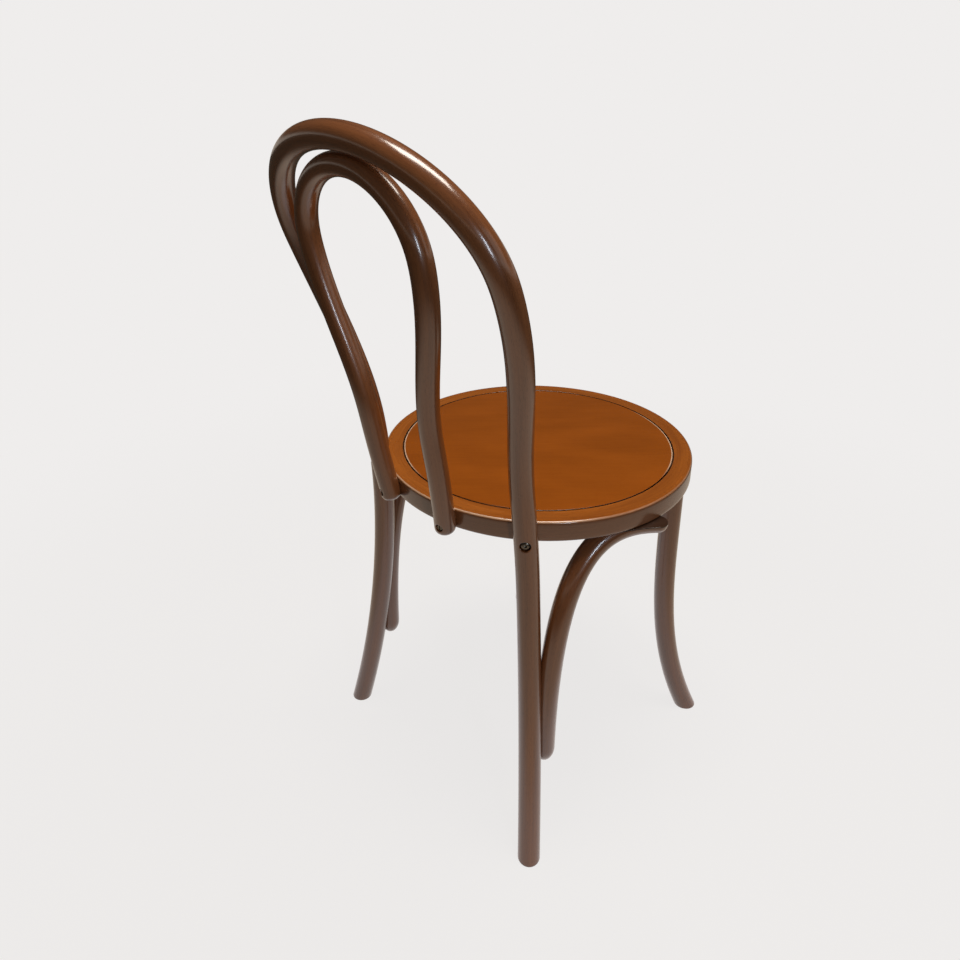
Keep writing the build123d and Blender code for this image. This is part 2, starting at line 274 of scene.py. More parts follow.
def eased_outline(corners, rounds):
    """A closed outline through flat corners, each turned into an arc of its own radius.

    The arc's centre lies on the corner's bisector, at the radius over the sine of half the
    corner's angle, and its points turn evenly from one tangent point to the other. One more point
    a radius before the arc and one after it keep the flats flat, so a corner has corner_points.
    """
    corners = np.array(corners, float)
    outline = []
    for here, before, after, radius in zip(
        corners, np.roll(corners, 1, axis=0), np.roll(corners, -1, axis=0), rounds
    ):
        back = (before - here) / np.linalg.norm(before - here)
        ahead = (after - here) / np.linalg.norm(after - here)
        half = np.arccos(np.clip(back @ ahead, -1, 1)) / 2
        bisector = (back + ahead) / np.linalg.norm(back + ahead)
        centre = here + bisector * radius / sin(half)
        start = here + back * radius / np.tan(half) - centre
        end = here + ahead * radius / np.tan(half) - centre
        sweep = pi - 2 * half
        share = np.linspace(0, 1, arc_steps + 1)[:, None]
        arc = start * np.sin((1 - share) * sweep) + end * np.sin(share * sweep)
        flat_before, flat_after = start + back * radius, end + ahead * radius
        outline.append(centre + np.vstack([flat_before, arc / sin(sweep), flat_after]))
    return np.vstack(outline)


def skin(name, rings, looped=False):
    """A closed mesh over a grid of points, rows by points round each row.

    Each quad joins a point to the next one round and to the same two in the next row. The first
    and last rows are either joined to each other or each closed with one flat face.
    """
    rows, around = rings.shape[:2]
    row = np.arange(rows if looped else rows - 1)[:, None]
    column = np.arange(around)[None, :]
    after_row, after_column = (row + 1) % rows, (column + 1) % around
    quads = np.stack(
        [
            row * around + column,
            row * around + after_column,
            after_row * around + after_column,
            after_row * around + column,
        ],
        axis=-1,
    )
    faces = quads.reshape(-1, 4).tolist()
    if not looped:
        faces.append(list(range(around - 1, -1, -1)))
        faces.append(list(range((rows - 1) * around, rows * around)))
    mesh = bpy.data.meshes.new(name)
    mesh.from_pydata(rings.reshape(-1, 3).tolist(), [], faces)
    piece = bpy.data.objects.new(name, mesh)
    bpy.context.scene.collection.objects.link(piece)
    return piece


def turned(name, outline, looped=False):
    """An outline of radius and height carried round the seat's axis."""
    turn = np.linspace(0, 2 * pi, round_facets, endpoint=False)[None, :]
    radius, height = outline[:, :1], outline[:, 1:]
    x = seat_middle.x + radius * np.cos(turn)
    y = seat_middle.y + radius * np.sin(turn)
    return skin(name, np.stack([x, y, height + 0 * turn], axis=-1), looped)


def bore(name, outline, start, out):
    """A cutter round a bore's axis, from an outline of radius and distance out from the start.

    Its facets are turned by half of one, so that no edge of it meets an edge of a rod.
    """
    out = np.array(out, float) / np.linalg.norm(out)
    upright_bore = abs(out[2]) > 0.9
    across = np.cross(out, (1.0, 0.0, 0.0) if upright_bore else (0.0, 0.0, 1.0))
    across /= np.linalg.norm(across)
    turn = (np.arange(bore_facets) + 0.5)[None, :, None] * 2 * pi / bore_facets
    round_it = np.cos(turn) * across + np.sin(turn) * np.cross(out, across)
    radius, distance = np.array(outline).T[:, :, None, None]
    return skin(name, np.array(start) + radius * round_it + distance * out)


def shade(piece, crease=35):
    """Smooth shading that breaks only at creases sharper than the angle."""
    piece.data.polygons.foreach_set("use_smooth", np.ones(len(piece.data.polygons), bool))
    piece.data.set_sharp_from_angle(angle=radians(crease))


def carve(piece, cutters):
    """Takes the cutters' shapes out of the piece, and throws the cutters away."""
    for cutter in cutters:
        cut = piece.modifiers.new("cut", "BOOLEAN")
        cut.operation = "DIFFERENCE"
        cut.solver = "EXACT"
        cut.object = cutter
    bpy.context.view_layer.update()
    whole = piece.evaluated_get(bpy.context.evaluated_depsgraph_get())
    carved = bpy.data.meshes.new_from_object(whole)
    piece.modifiers.clear()
    piece.data = carved
    shade(piece)
    for cutter in cutters:
        bpy.data.objects.remove(cutter)


noise_spread = (0.3, 0.7)
streak_share = 0.35
fleck_edge = (0.60, 0.68)
fleck_shade = (0.72, 0.66, 0.62, 1.0)
gloss_change = 0.07
relief_depth = 0.1 * mm
streak_relief = 0.15


def stained_beech(name, tones, gloss, grain, bands, flecks):
    """Brown stain on beech under satin lacquer.

    tones links the stain's deep and pale colour for this material, and gloss is the roughness of
    the first coats. grain links a point's place in the straight stick, in metres with X along it,
    to the textures. Fine streaks and broad bands set how much stain the wood took up: bands gives
    how often the broad ones come, per metre. Short dark dashes, as strong as flecks, are the rays
    and pores. The first coats sink into the grain, and the last one lies smooth over them.
    """
    finish = bpy.data.materials.new(name)
    finish.use_nodes = True
    nodes, links = finish.node_tree.nodes, finish.node_tree.links
    shader = nodes["Principled BSDF"]
    shader.inputs["IOR"].default_value = 1.5
    shader.inputs["Coat Weight"].default_value = 1.0
    shader.inputs["Coat Roughness"].default_value = 0.15
    deep, pale = tones(nodes, links)
    stick = grain(nodes, links)

    def pattern(scale, detail):
        stretch = nodes.new("ShaderNodeMapping")
        stretch.inputs["Scale"].default_value = scale
        noise = nodes.new("ShaderNodeTexNoise")
        noise.inputs["Scale"].default_value = 1.0
        noise.inputs["Detail"].default_value = detail
        links.new(stick, stretch.inputs["Vector"])
        links.new(stretch.outputs["Vector"], noise.inputs["Vector"])
        return noise.outputs["Fac"]

    def spread(value, low, high, to_low, to_high):
        level = nodes.new("ShaderNodeMapRange")
        level.inputs["From Min"].default_value = low
        level.inputs["From Max"].default_value = high
        level.inputs["To Min"].default_value = to_low
        level.inputs["To Max"].default_value = to_high
        links.new(value, level.inputs["Value"])
        return level.outputs["Result"]

    def add(first, second):
        total = nodes.new("ShaderNodeMath")
        total.operation = "ADD"
        links.new(first, total.inputs[0])
        links.new(second, total.inputs[1])
        return total.outputs[0]

    streaks = pattern(scale=(16.0, 520.0, 520.0), detail=4.0)
    broad = pattern(scale=bands, detail=2.0)
    dashes = pattern(scale=(170.0, 1500.0, 1500.0), detail=1.0)
    ripple = pattern(scale=(45.0, 70.0, 70.0), detail=1.0)

    uptake = add(
        spread(streaks, *noise_spread, 0.0, streak_share),
        spread(broad, *noise_spread, 0.0, 1.0 - streak_share),
    )
    wood = mixed_colour(nodes, links, uptake, deep, pale)
    flecked = nodes.new("ShaderNodeMix")
    flecked.data_type = "RGBA"
    flecked.blend_type = "MULTIPLY"
    flecked.inputs["B"].default_value = fleck_shade
    links.new(spread(dashes, *fleck_edge, 0.0, flecks), flecked.inputs["Factor"])
    links.new(wood, flecked.inputs["A"])
    links.new(flecked.outputs["Result"], shader.inputs["Base Color"])
    roughness = spread(broad, *noise_spread, gloss, gloss + gloss_change)
    links.new(roughness, shader.inputs["Roughness"])

    relief = nodes.new("ShaderNodeBump")
    relief.inputs["Strength"].default_value = 0.25
    relief.inputs["Distance"].default_value = relief_depth
    level = add(spread(streaks, 0.0, 1.0, 0.0, streak_relief), spread(ripple, 0.0, 1.0, 0.0, 1.0))
    links.new(level, relief.inputs["Height"])
    links.new(relief.outputs["Normal"], shader.inputs["Normal"])
    return finish


def from_the_axis(nodes, links):
    """A point's place measured from the seat's axis."""
    place = nodes.new("ShaderNodeTexCoord")
    centred = nodes.new("ShaderNodeMapping")
    centred.inputs["Location"].default_value = (-seat_middle.x, -seat_middle.y, 0.0)
    links.new(place.outputs["Object"], centred.inputs["Vector"])
    return centred.outputs["Vector"]


def about_the_axis(nodes, links):
    """The parts of a point's place measured from the seat's axis, and its distance from it."""
    split = nodes.new("ShaderNodeSeparateXYZ")
    flat = nodes.new("ShaderNodeCombineXYZ")
    radius = nodes.new("ShaderNodeVectorMath")
    radius.operation = "LENGTH"
    links.new(from_the_axis(nodes, links), split.inputs[0])
    links.new(split.outputs["X"], flat.inputs["X"])
    links.new(split.outputs["Y"], flat.inputs["Y"])
    links.new(flat.outputs[0], radius.inputs[0])
    return split.outputs, radius.outputs["Value"]


def round_the_seat(nodes, links):
    """Grain that follows the ring: X is the distance round it, Y the radius and Z the height."""
    place, radius = about_the_axis(nodes, links)
    turn = nodes.new("ShaderNodeMath")
    turn.operation = "ARCTAN2"
    distance = nodes.new("ShaderNodeMath")
    distance.operation = "MULTIPLY"
    distance.inputs[1].default_value = ring_radius
    stick = nodes.new("ShaderNodeCombineXYZ")
    links.new(place["X"], turn.inputs[0])
    links.new(place["Y"], turn.inputs[1])
    links.new(turn.outputs[0], distance.inputs[0])
    links.new(distance.outputs[0], stick.inputs["X"])
    links.new(radius, stick.inputs["Y"])
    links.new(place["Z"], stick.inputs["Z"])
    return stick.outputs[0]


def product(nodes, links, first, second):
    """Two values multiplied."""
    times = nodes.new("ShaderNodeMath")
    times.operation = "MULTIPLY"
    links.new(first, times.inputs[0])
    links.new(second, times.inputs[1])
    return times.outputs[0]


ring_bore_radius = ring_radius - ring_width
rebate_radius = ring_radius - ring_lip
ledge_height = seat_height - panel_thickness
ring_corners = [
    (ring_bore_radius, ring_bottom),
    (ring_radius, ring_bottom),
    (ring_radius, seat_height),
    (rebate_radius, seat_height),
    (rebate_radius, ledge_height),
    (ring_bore_radius, ledge_height),
]
ring_rounds = [
    ring_inner_round, ring_edge_round, ring_edge_round, ring_inner_round, fit, ring_inner_round,
]
seat_ring = turned("seat_ring_wood", eased_outline(ring_corners, ring_rounds), looped=True)
side_tones = ((0.170, 0.060, 0.020, 1.0), (0.260, 0.094, 0.033, 1.0))
# The top's lighter orange is painted light from the lamp above; the side keeps the stain's dark
# brown.
lit_top_tones = ((0.270, 0.068, 0.006, 1.0), (0.460, 0.130, 0.012, 1.0))
# A painted highlight line along the top's rounded edge, palest at the back and weaker in front.
painted_highlight_tone = (0.75, 0.50, 0.32, 1.0)
# Near-black painted shade in the groove round the panel, on the ring's wall and the panel's edge.
groove_shade_tone = (0.028, 0.011, 0.006, 1.0)
lit_top_edge = (seat_height - ring_edge_round, seat_height - 0.7 * mm)
highlight_start = (seat_height - ring_edge_round + 0.8 * mm, seat_height - 0.8 * mm)
highlight_end = (seat_height - 0.5 * mm, seat_height - 0.1 * mm)
highlight_share = 0.85
highlight_behind = (0.3 * ring_radius, 0.65 * ring_radius)
highlight_in_front = 0.3
groove_shade_lip = (rebate_radius + 0.2 * mm, rebate_radius + 0.6 * mm)
wall_foot = (ledge_height, ledge_height + mm)


def ring_tones(nodes, links):
    """Dark stain on the ring's side, a top painted lighter orange as painted light from above, and
    a painted highlight line where the two meet.

    The highlight line is palest at the back and weaker in front. The rebate's wall is nearly
    black, painted shade in the groove.
    """
    place, radius = about_the_axis(nodes, links)
    height = place["Z"]
    lit_top = faded(nodes, links, height, *lit_top_edge, 0.0, 1.0)
    above = faded(nodes, links, height, *highlight_start, 0.0, highlight_share)
    below = faded(nodes, links, height, *highlight_end, 1.0, 0.0)
    back = faded(nodes, links, place["Y"], *highlight_behind, highlight_in_front, 1.0)
    painted_highlight = product(nodes, links, product(nodes, links, above, below), back)
    lip = faded(nodes, links, radius, *groove_shade_lip, 1.0, 0.0)
    wall = faded(nodes, links, height, *wall_foot, 0.0, 1.0)
    groove_shade = product(nodes, links, lip, wall)
    tones = []
    for side_tone, lit_top_tone in zip(side_tones, lit_top_tones):
        stain_or_lit_top = mixed_colour(nodes, links, lit_top, side_tone, lit_top_tone)
        highlighted = mixed_colour(nodes, links, painted_highlight, stain_or_lit_top, painted_highlight_tone)
        tones.append(mixed_colour(nodes, links, groove_shade, highlighted, groove_shade_tone))
    return tones


shade(seat_ring)
ring_beech = stained_beech(
    "ring_beech", ring_tones, gloss=0.22, grain=round_the_seat, bands=(5.0, 60.0, 60.0), flecks=0.6
)
seat_ring.data.materials.append(ring_beech)
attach(seat_ring, "root")
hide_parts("seat_ring")

# Seat panel. A round of beech plywood dropped into the ring's rebate, stained a warm orange brown.
# Its veneer runs straight across, and a narrow groove is left round its eased edge.

panel_groove = 1.5 * mm
panel_edge_round = 0.5 * mm
panel_radius = rebate_radius - panel_groove
panel_middle_radius = 0.25 * panel_radius
panel_corners = [
    (panel_middle_radius, ledge_height),
    (panel_radius, ledge_height),
    (panel_radius, seat_height),
    (panel_middle_radius, seat_height),
]
panel_outline = eased_outline(panel_corners, [fit, fit, panel_edge_round, fit])
panel_edge = panel_outline[corner_points:-corner_points]
panel_rows = np.vstack([panel_corners[0], panel_edge, panel_corners[-1]])
seat_panel = turned("seat_panel_veneer", panel_rows)
veneer_heading = radians(47)


def across_the_panel(nodes, links):
    """Straight grain: the panel's own plane, turned so that X runs along the veneer."""
    turned_place = nodes.new("ShaderNodeMapping")
    turned_place.inputs["Rotation"].default_value = (0.0, 0.0, -veneer_heading)
    links.new(from_the_axis(nodes, links), turned_place.inputs["Vector"])
    return turned_place.outputs["Vector"]


veneer_tones = ((0.285, 0.066, 0.0008, 1.0), (0.385, 0.091, 0.0018, 1.0))
# A painted highlight line along the panel's rim, at the two ends of its grain.
rim_highlight_tone = (0.80, 0.55, 0.38, 1.0)
rim_highlight_share = 0.9
rim_highlight_band = (panel_radius - 2.0 * mm, panel_radius - 1.2 * mm)
rim_highlight_ends = (0.80 * panel_radius, 0.95 * panel_radius)
# The panel's edge gets the groove's painted shade.
groove_shade_edge = (panel_radius - 0.5 * mm, panel_radius - 0.1 * mm)


def panel_tones(nodes, links):
    """The veneer's two tones, a painted highlight line along its rim, and an edge painted as dark
    as the groove, as painted shade.

    The highlight line lies at the two ends of the veneer's grain.
    """
    radius = about_the_axis(nodes, links)[1]
    edge_shade = faded(nodes, links, radius, *groove_shade_edge, 0.0, 1.0)
    rim = faded(nodes, links, radius, *rim_highlight_band, 0.0, rim_highlight_share)
    grain = nodes.new("ShaderNodeSeparateXYZ")
    links.new(across_the_panel(nodes, links), grain.inputs[0])
    along = nodes.new("ShaderNodeMath")
    along.operation = "ABSOLUTE"
    links.new(grain.outputs["X"], along.inputs[0])
    ends = faded(nodes, links, along.outputs[0], *rim_highlight_ends, 0.0, 1.0)
    highlighted = product(nodes, links, rim, ends)
    tones = []
    for tone in veneer_tones:
        painted_highlight = mixed_colour(nodes, links, highlighted, tone, rim_highlight_tone)
        tones.append(mixed_colour(nodes, links, edge_shade, painted_highlight, groove_shade_tone))
    return tones


panel_beech = stained_beech(
    "panel_beech", panel_tones, gloss=0.20, grain=across_the_panel, bands=(9.0, 18.0, 18.0),
    flecks=0.3,
)
shade(seat_panel)
seat_panel.data.materials.append(panel_beech)
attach(seat_panel, "root")
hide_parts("seat_panel")

# Back hoop. One beech rod, steamed and bent, is both rear legs and the outer back. It is let in
# around the ring's edge and held by a domed bolt in a counterbore on each side.

hoop_radius = 28.5 / 2 * mm
hoop_turn = radians(40.0)
hoop_let_in = 6.2 * mm
hoop_fixing_height = seat_height - 20.0 * mm
hoop_foot_splay = 47.5 * mm
hoop_foot_lean = 34.5 * mm
hoop_plumb_height = seat_height - 102.0 * mm
hoop_waist_height = seat_height + 33.5 * mm
hoop_shoulder_height = seat_height + 292.0 * mm
hoop_shoulder_swell = 39.5 * mm
hoop_crown_rise = 125.5 * mm
hoop_crown_lean = 136.0 * mm
sawn_edge_round = (2.5 * mm, 2.5 * mm)
bend_ease = 12.0 * mm
sawn_radii = 4
rod_facets = 72
row_spacing = 3.0 * mm
span_points = 120
end_rows = 9
bolt_mouth_radius = 6.5 * mm
bolt_mouth_depth = 6.0 * mm
bolt_bore_radius = 3.1 * mm
mouth_round = 1.0 * mm
mouth_facets = 64
mouth_rows = 7
past_ring = 2 * ring_radius


def hoop_line(end, waist, shoulder, crown_rise, behind):
    """The middle line of a whole hoop, from its left end over the crown to its right end.

    The half width is a parabola up to the waist, half a cosine wave from there to the shoulder and
    a quarter ellipse over the crown. behind gives the distance behind the seat's axis at a height.
    """
    share = np.linspace(1, 0, span_points, endpoint=False)
    lower = waist[0] + (end[0] - waist[0]) * share**2
    lower_height = waist[1] + (end[1] - waist[1]) * share
    share = np.linspace(0, 1, span_points, endpoint=False)
    middle = waist[0] + (shoulder[0] - waist[0]) * (1 - np.cos(pi * share)) / 2
    middle_height = waist[1] + (shoulder[1] - waist[1]) * share
    turn = np.linspace(0, pi / 2, span_points, endpoint=False)
    crown = shoulder[0] * np.cos(turn)
    crown_height = shoulder[1] + crown_rise * np.sin(turn)
    half = np.concatenate([lower, middle, crown])
    height = np.concatenate([lower_height, middle_height, crown_height])
    side = np.column_stack([half, seat_middle.y + behind(height), height])
    top_height = shoulder[1] + crown_rise
    top = [[0.0, seat_middle.y + behind(np.array([top_height]))[0], top_height]]
    return np.vstack([side, top, side[::-1] * (-1, 1, 1)])


def bent_line(points, ease):
    """The line through the points, evenly spaced, with its bends run into each other.

    Each point is the mean of its neighbours under a bell curve as wide as ease, cut off at three
    times that, and both ends are first carried straight on.
    """
    spacing = row_spacing / 2
    steps = np.linalg.norm(np.diff(points, axis=0), axis=1)
    length = np.append(0, np.cumsum(steps))
    even = np.linspace(0, length[-1], int(length[-1] / spacing) + 1)
    line = np.column_stack([np.interp(even, length, points[:, axis]) for axis in range(3)])
    reach = int(3 * ease / spacing)
    offsets = np.arange(1, reach + 1)[:, None]
    before = line[0] + (line[0] - line[1]) * offsets[::-1]
    after = line[-1] + (line[-1] - line[-2]) * offsets
    carried_on = np.vstack([before, line, after])
    bell = np.exp(-((np.arange(-reach, reach + 1) * spacing / ease) ** 2) / 2)
    bell /= bell.sum()
    return np.column_stack([np.convolve(carried_on[:, axis], bell, "valid") for axis in range(3)])


def line_frame(line, facing):
    """Length along the line at each point, with the tangent and two directions square to it.

    The first square direction is the facing direction less its part along the tangent.
    """
    steps = np.linalg.norm(np.diff(line, axis=0), axis=1)
    length = np.append(0, np.cumsum(steps))
    tangent = np.gradient(line, axis=0)
    tangent /= np.linalg.norm(tangent, axis=1)[:, None]
    front = facing - tangent * (tangent @ facing)[:, None]
    front /= np.linalg.norm(front, axis=1)[:, None]
    return length, tangent, front, np.cross(front, tangent)


def rod_rows(line, facing, stations, radii, sawn_start=0.0, sawn_end=0.0):
    """A round section carried along a line, at the stations and with the radii given.

    Within the sawn lengths the rows lean over until the end one is level, as a leg is sawn level
    with the floor: a point slides along the tangent by its height above the middle line.
    """
    length, tangent, front, side = line_frame(line, facing)

    def at(values):
        return np.column_stack([np.interp(stations, length, values[:, axis]) for axis in range(3)])

    centre, tangent, front, side = at(line), at(tangent), at(front), at(side)
    turn = np.linspace(0, 2 * pi, rod_facets, endpoint=False)[None, :, None]
    round_it = np.cos(turn) * side[:, None] + np.sin(turn) * front[:, None]
    offset = np.asarray(radii)[:, None, None] * round_it
    level = np.zeros(len(stations))
    if sawn_start:
        level = np.maximum(level, 1 - stations / sawn_start)
    if sawn_end:
        level = np.maximum(level, 1 - (length[-1] - stations) / sawn_end)
    slide = level[:, None] * offset[:, :, 2] / tangent[:, None, 2]
    return centre[:, None] + offset - slide[:, :, None] * tangent[:, None]


def eased_stations(total, radius, start_round, end_round):
    """Evenly spaced rows along a rod, with closer ones over its rounded ends, and their radii.

    Each end is rounded by a quarter ellipse, given as its length along the rod and its depth.
    """
    quarter = np.linspace(0, pi / 2, end_rows)
    start = start_round[0] * (1 - np.cos(quarter))
    end = total - end_round[0] * (1 - np.cos(quarter[::-1]))
    count = int((end[0] - start[-1]) / row_spacing)
    middle = np.linspace(start[-1], end[0], count + 1)[1:-1]
    start_radii = radius - start_round[1] * (1 - np.sin(quarter))
    end_radii = radius - end_round[1] * (1 - np.sin(quarter[::-1]))
    radii = np.concatenate([start_radii, np.full(len(middle), radius), end_radii])
    return np.concatenate([start, middle, end]), radii


def keep_straight_place(piece, line, facing):
    """Stores where each point lay in the stick before it was bent, in metres.

    The first value is the length along the line at its nearest point, corrected by the offset
    along the tangent there. The others are the offsets in the section's two directions.
    """
    length, tangent, front, side = line_frame(line, facing)
    place = np.zeros(len(piece.data.vertices) * 3)
    piece.data.vertices.foreach_get("co", place)
    place = place.reshape(-1, 3)
    square = (place**2).sum(1)[:, None] + (line**2).sum(1)[None, :] - 2 * place @ line.T
    nearest = square.argmin(1)
    offset = place - line[nearest]
    along = length[nearest] + (offset * tangent[nearest]).sum(1)
    sideways = (offset * side[nearest]).sum(1)
    forwards = (offset * front[nearest]).sum(1)
    stick = piece.data.attributes.new("stick", "FLOAT_VECTOR", "POINT")
    stick.data.foreach_set("vector", np.column_stack([along, sideways, forwards]).ravel())


def along_the_rod(nodes, links):
    """Grain that follows a bent rod, from each point's place in the straight stick."""
    stick = nodes.new("ShaderNodeAttribute")
    stick.attribute_name = "stick"
    return stick.outputs["Vector"]


def counterbore(name, centre, out, line, rod_radius, mouth, depth, shank_radius):
    """A cutter for a screw or bolt let into a rod, with the rim of its mouth rounded over.

    On a line along the bore, the rod's surface is where the distance from the rod's own line
    equals the rod's radius: the larger root of a quadratic. The rim is a quarter round below that
    surface, then come the mouth's wall, the head's flat seat and the shank's hole. The cutter
    begins and ends a rod's thickness from the centre.
    """
    out = np.array(out, float) / np.linalg.norm(out)
    nearest = np.linalg.norm(line - centre, axis=1).argmin()
    tangent = line[nearest + 1] - line[nearest - 1]
    tangent /= np.linalg.norm(tangent)
    across = np.cross(tangent, out)
    across /= np.linalg.norm(across)
    turn = np.linspace(0, 2 * pi, mouth_facets, endpoint=False)[None, :, None]
    round_it = np.cos(turn) * across + np.sin(turn) * np.cross(out, across)
    quarter = np.linspace(0, pi / 2, mouth_rows)
    rim_radius = mouth + mouth_round * (1 - np.sin(quarter))
    rim_drop = mouth_round * (1 - np.cos(quarter))
    from_line = centre - line[nearest] + rim_radius[:, None, None] * round_it
    square = from_line - (from_line @ tangent)[..., None] * tangent
    rise = out - (out @ tangent) * tangent
    half_b, a = square @ rise, rise @ rise
    surface = (np.sqrt(half_b**2 - a * ((square**2).sum(-1) - rod_radius**2)) - half_b) / a
    level = np.ones((1, turn.size))
    top, seat = level * 2 * rod_radius, level * (rod_radius - depth)
    height = np.vstack([top, surface - rim_drop[:, None], seat, seat, -top])
    radius = np.concatenate([rim_radius[:1], rim_radius, [mouth, shank_radius, shank_radius]])
    rings = centre + radius[:, None, None] * round_it + height[..., None] * out
    return skin(name, rings[::-1])


def hoop_splay(height):
    """How far out from its waist the rear leg stands: a parabola down from the waist."""
    return hoop_foot_splay * ((hoop_waist_height - height) / hoop_waist_height) ** 2


def hoop_lean(height):
    """How far back of plumb the hoop leans: a parabola up to the crown, and one to the foot."""
    above = np.asarray(height) - hoop_plumb_height
    up = hoop_shoulder_height + hoop_crown_rise - hoop_plumb_height
    upper = hoop_crown_lean * (above / up) ** 2
    lower = hoop_foot_lean * (above / hoop_plumb_height) ** 2
    return np.where(above > 0, upper, lower)


# At the fixings the rod's middle is hoop_at_ring from the seat's axis. The waist and the plumb
# place are set so that the curve passes there.
hoop_at_ring = ring_radius + hoop_radius - hoop_let_in
hoop_waist = hoop_at_ring * sin(hoop_turn) - hoop_splay(hoop_fixing_height)
hoop_plumb = hoop_at_ring * cos(hoop_turn) - hoop_lean(hoop_fixing_height)
towards_back = np.array([0.0, 1.0, 0.0])
hoop_middle_line = bent_line(
    hoop_line(
        (hoop_waist + hoop_foot_splay, 0.0),
        (hoop_waist, hoop_waist_height),
        (hoop_waist + hoop_shoulder_swell, hoop_shoulder_height),
        hoop_crown_rise,
        lambda height: hoop_plumb + hoop_lean(height),
    ),
    bend_ease,
)
hoop_length = line_frame(hoop_middle_line, towards_back)[0][-1]
hoop_sawn = sawn_radii * hoop_radius
stations, radii = eased_stations(hoop_length, hoop_radius, sawn_edge_round, sawn_edge_round)
back_hoop = skin(
    "back_hoop_rod",
    rod_rows(hoop_middle_line, towards_back, stations, radii, hoop_sawn, hoop_sawn),
)
# The notch is the ring's own edge, larger by the fit, so that the rods close round it.
notch = np.array([(ring_radius + fit, ring_bottom - fit), (ring_radius + fit, seat_height + fit)])
hoop_cutters, bolt_bores = [turned("notch", notch)], []
for side in (1, -1):
    outwards = np.array([side * sin(hoop_turn), cos(hoop_turn), 0.0])
    level_middle = np.array([0.0, seat_middle.y, hoop_fixing_height])
    bolt_bore = [(bolt_bore_radius, 0.0), (bolt_bore_radius, past_ring)]
    bolt_bores.append(bore("bolt_bore", bolt_bore, level_middle, outwards))
    hoop_cutters.append(
        counterbore(
            "bolt_mouth", level_middle + outwards * hoop_at_ring, outwards, hoop_middle_line,
            hoop_radius, bolt_mouth_radius, bolt_mouth_depth, bolt_bore_radius,
        )
    )
carve(seat_ring, bolt_bores)
carve(back_hoop, hoop_cutters)
rod_stain = ((0.165, 0.054, 0.017, 1.0), (0.295, 0.104, 0.034, 1.0))
# Darker end-grain stain on the sawn feet; the braces also use it as painted shade on their planed
# face.
end_grain_and_shade_tone = (0.040, 0.018, 0.010, 1.0)
sawn_face = (0.2 * mm, 1.2 * mm)


def darkened_rod(nodes, links, heights, low_share, high_share):
    """The rods' two tones, darkened by a share that changes between two heights."""
    split = nodes.new("ShaderNodeSeparateXYZ")
    links.new(from_the_axis(nodes, links), split.inputs[0])
    share = faded(nodes, links, split.outputs["Z"], *heights, low_share, high_share)
    return [mixed_colour(nodes, links, share, tone, end_grain_and_shade_tone) for tone in rod_stain]


def rod_tones(nodes, links):
    """The rods' tones, darker on the sawn feet, where the end grain drank the stain."""
    return darkened_rod(nodes, links, sawn_face, 1.0, 0.0)


def rod_finish(name, tones):
    """The rods' finish: grain along the bent rod, with long narrow bands and clear rays."""
    return stained_beech(
        name, tones, gloss=0.27, grain=along_the_rod, bands=(4.0, 110.0, 110.0), flecks=0.8
    )


rod_beech = rod_finish("rod_beech", rod_tones)
back_hoop.data.materials.append(rod_beech)
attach(back_hoop, "root")
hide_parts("back_hoop")

# Inner hoop. A thinner rod in one leaning plane, with its rounded ends let in over the ring's edge
# between the rear legs and held there by two sunk wood screws.

inner_radius = 25.5 / 2 * mm
inner_turn = radians(14.1)
inner_let_in = 2.2 * mm
inner_fixing_height = seat_height - 17.0 * mm
inner_end_height = seat_height - 28.0 * mm
inner_end_taper = 7.5 * mm
inner_waist_height = seat_height + 93.0 * mm
inner_shoulder_height = seat_height + 304.0 * mm
inner_shoulder_swell = 39.5 * mm
inner_crown_rise = 86.5 * mm
inner_lean = 75.0 * mm
inner_end_round = (7.0 * mm, 7.0 * mm)
screw_mouth_radius = 4.75 * mm
screw_bore_radius = 2.35 * mm
inner_screw_depth = 5.0 * mm
inner_screw_length = 42.0 * mm

inner_at_ring = ring_radius + inner_radius - inner_let_in
inner_rise = inner_shoulder_height + inner_crown_rise - inner_end_height
inner_share = (inner_waist_height - inner_fixing_height) / (inner_waist_height - inner_end_height)
inner_waist = inner_at_ring * sin(inner_turn) + inner_end_taper * inner_share**2
inner_plumb = inner_at_ring * cos(inner_turn)
inner_middle_line = bent_line(
    hoop_line(
        (inner_waist - inner_end_taper, inner_end_height),
        (inner_waist, inner_waist_height),
        (inner_waist + inner_shoulder_swell, inner_shoulder_height),
        inner_crown_rise,
        lambda height: inner_plumb + inner_lean * (height - inner_fixing_height) / inner_rise,
    ),
    bend_ease,
)
inner_length = line_frame(inner_middle_line, towards_back)[0][-1]
stations, radii = eased_stations(inner_length, inner_radius, inner_end_round, inner_end_round)
inner_hoop = skin(
    "inner_hoop_rod", rod_rows(inner_middle_line, towards_back, stations, radii)
)
inner_cutters, screw_bores = [turned("notch", notch)], []
screw_tip = inner_at_ring + inner_radius - inner_screw_depth - inner_screw_length - fit
for side in (1, -1):
    outwards = np.array([side * sin(inner_turn), cos(inner_turn), 0.0])
    level_middle = np.array([0.0, seat_middle.y, inner_fixing_height])
    screw_bore = [(screw_bore_radius, screw_tip), (screw_bore_radius, past_ring)]
    screw_bores.append(bore("screw_bore", screw_bore, level_middle, outwards))
    inner_cutters.append(
        counterbore(
            "screw_mouth", level_middle + outwards * inner_at_ring, outwards, inner_middle_line,
            inner_radius, screw_mouth_radius, inner_screw_depth, screw_bore_radius,
        )
    )
carve(seat_ring, screw_bores)
carve(inner_hoop, inner_cutters)
keep_straight_place(inner_hoop, inner_middle_line, towards_back)
inner_hoop.data.materials.append(rod_beech)
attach(inner_hoop, "root")
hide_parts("inner_hoop")

